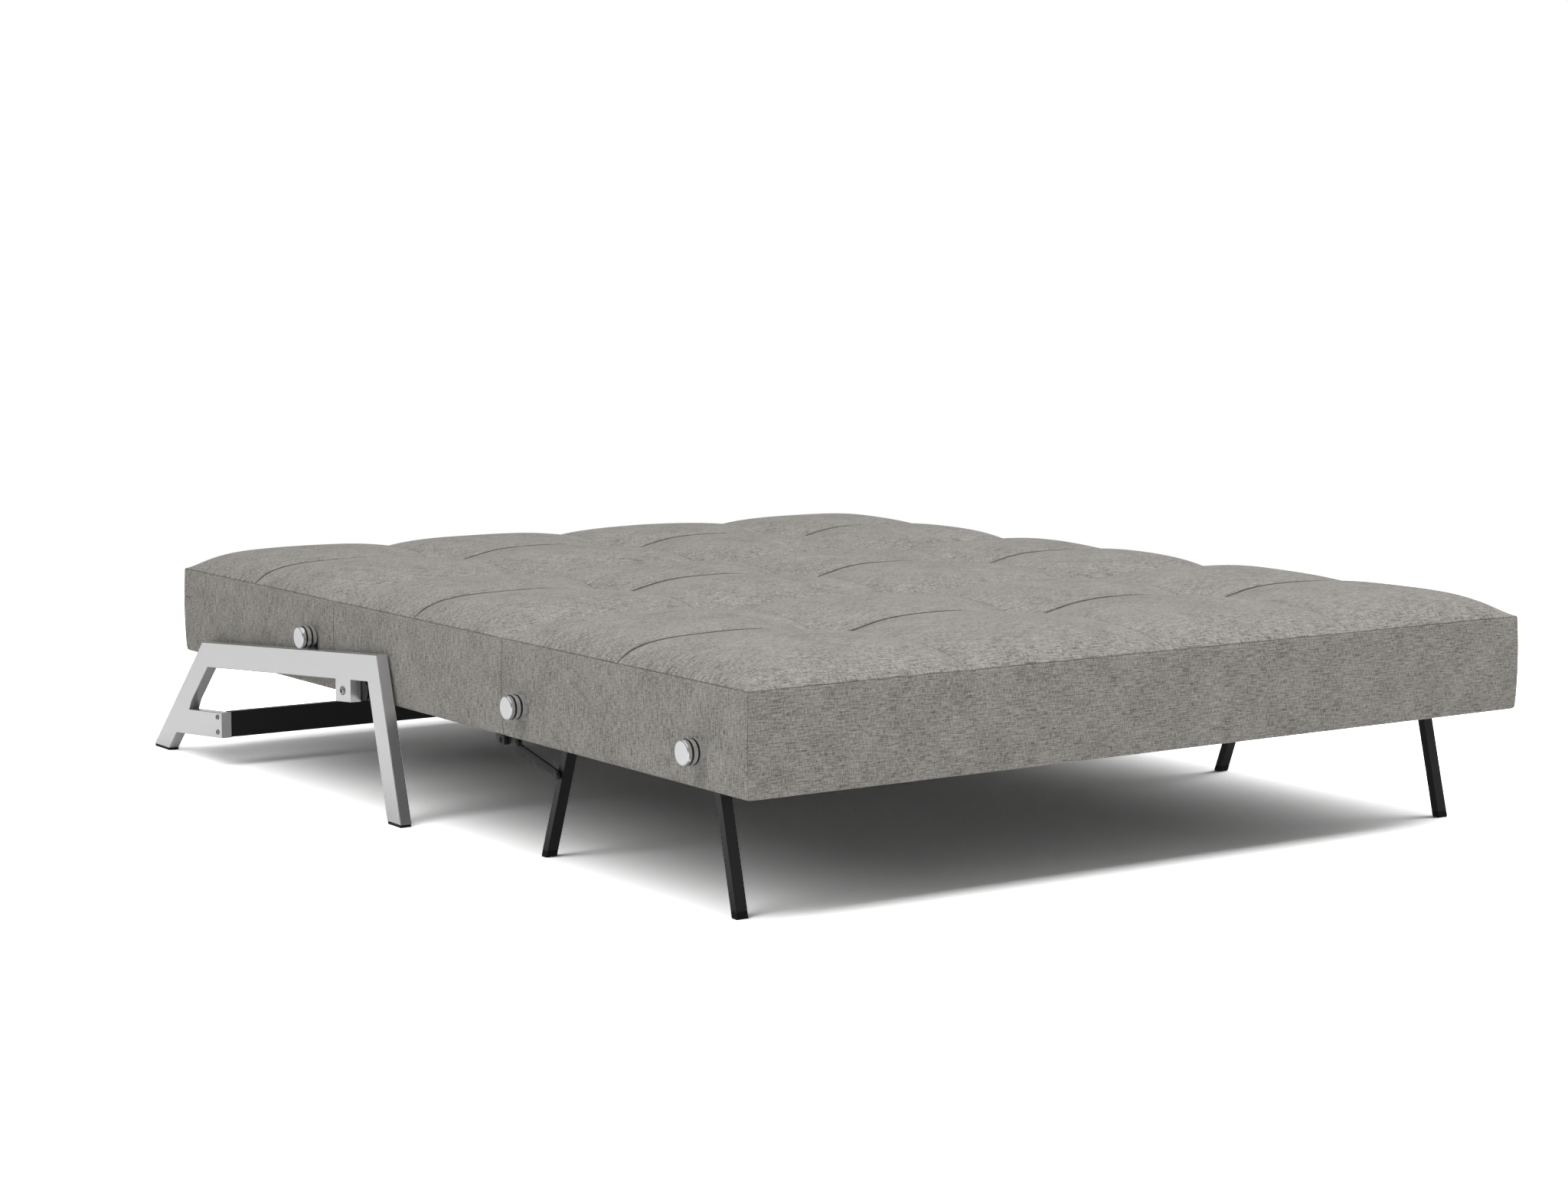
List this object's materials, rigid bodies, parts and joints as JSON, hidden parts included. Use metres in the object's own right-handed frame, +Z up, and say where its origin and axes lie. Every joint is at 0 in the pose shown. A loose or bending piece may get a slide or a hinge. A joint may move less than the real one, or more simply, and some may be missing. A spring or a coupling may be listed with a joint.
{
  "type": "sleeper sofa with pull-out bed",
  "caption": "Tufted sleeper sofa pulled out flat as a bed, on chrome side frames and folding black legs, with a seat that flips forward and a tilting back.",
  "frame": {"origin": "on the floor, at the centre of the footprint of the whole pulled-out bed", "axes": "+Z up, +X to the right of someone who looks along the bed from its pulled-out end, -Y towards that end"},
  "size_m": [1.6682, 2.1026, 0.404],
  "materials": {
    "fabric": "woven grey melange upholstery",
    "chrome": "polished chrome plate",
    "black_steel": "satin black powder coat",
    "rubber": "matt black rubber",
    "board": "board covered in black lining cloth"
  },
  "bodies": {
    "frame": {"side_frame_left": "chrome", "side_frame_right": "chrome", "frame_pad_front_left": "rubber", "frame_pad_front_right": "rubber", "frame_pad_rear_left": "rubber", "frame_pad_rear_right": "rubber", "rear_cross_bar": "black_steel", "cross_bar_screw_lower_left": "chrome", "cross_bar_screw_upper_left": "chrome", "cross_bar_screw_lower_right": "chrome", "cross_bar_screw_upper_right": "chrome", "pivot_plate_left": "black_steel", "pivot_plate_right": "black_steel", "lug_bolt_left": "chrome", "lug_bolt_right": "chrome"},
    "back_carriage": {"back_glide_left": "black_steel", "back_glide_right": "black_steel"},
    "back_section": {"back_leaf_left": "black_steel", "back_leaf_right": "black_steel", "back_knob_left": "chrome", "back_knob_right": "chrome", "back_cushion": "fabric", "back_board": "board"},
    "middle_section": {"swing_plate_left": "black_steel", "swing_plate_right": "black_steel", "middle_leaf_left": "black_steel", "middle_leaf_right": "black_steel", "middle_cushion": "fabric", "middle_board": "board"},
    "seat_section": {"seat_cushion": "fabric", "seat_board": "board", "seat_leaf_left": "black_steel", "seat_leaf_right": "black_steel", "seat_knob_front_left": "chrome", "seat_knob_front_right": "chrome", "seat_knob_rear_left": "chrome", "seat_knob_rear_right": "chrome", "front_leg_saddle_left": "black_steel", "front_leg_saddle_right": "black_steel", "rear_leg_saddle_left": "black_steel", "rear_leg_saddle_right": "black_steel"},
    "front_legs": {"front_leg_left": "black_steel", "front_leg_right": "black_steel", "front_leg_tip_left": "rubber", "front_leg_tip_right": "rubber", "front_leg_cross_tube": "black_steel"},
    "rear_legs": {"rear_leg_left": "black_steel", "rear_leg_right": "black_steel", "rear_leg_tip_left": "rubber", "rear_leg_tip_right": "rubber", "rear_leg_cross_tube": "black_steel"},
    "stays": {"stay_link_left": "black_steel", "stay_link_right": "black_steel"}
  },
  "joints": [
    {"name": "seat_flip", "type": "hinge", "parent": "frame", "child": "middle_section", "pos_m": [0, 0.17052, 0.217], "axis": [1, 0, 0], "range_deg": [-184.5, 0]},
    {"name": "seat_fold", "type": "hinge", "parent": "middle_section", "child": "seat_section", "pos_m": [0, -0.34948, 0.193], "axis": [1, 0, 0], "range_deg": [0, 180]},
    {"name": "front_leg_fold", "type": "hinge", "parent": "seat_section", "child": "front_legs", "pos_m": [0, -0.89148, 0.1931], "axis": [1, 0, 0], "range_deg": [0, 104]},
    {"name": "rear_leg_fold", "type": "hinge", "parent": "seat_section", "child": "rear_legs", "pos_m": [0, -0.43948, 0.1931], "axis": [1, 0, 0], "range_deg": [-110.7, 0]},
    {"name": "stay_swing", "type": "hinge", "parent": "rear_legs", "child": "stays", "pos_m": [0, -0.41905, 0.145], "axis": [1, 0, 0], "range_deg": [0, 86.7]},
    {"name": "back_slide", "type": "slide", "parent": "frame", "child": "back_carriage", "axis": [0, 0.9969, -0.0785], "range_m": [0, 0.474]},
    {"name": "back_tilt", "type": "hinge", "parent": "back_carriage", "child": "back_section", "pos_m": [0, 0.37252, 0.29174], "axis": [1, 0, 0], "range_deg": [0, 78]}
  ],
  "couplings": [
    {"joint": "seat_fold", "follows": "seat_flip", "ratio": -0.97561},
    {"joint": "front_leg_fold", "follows": "seat_flip", "ratio": -0.56368},
    {"joint": "rear_leg_fold", "follows": "seat_flip", "ratio": 0.6},
    {"joint": "stay_swing", "follows": "seat_flip", "ratio": -0.46992},
    {"joint": "back_slide", "follows": "seat_flip", "m_per_rad": -0.1472},
    {"joint": "back_tilt", "follows": "seat_flip", "ratio": -0.42276}
  ]
}
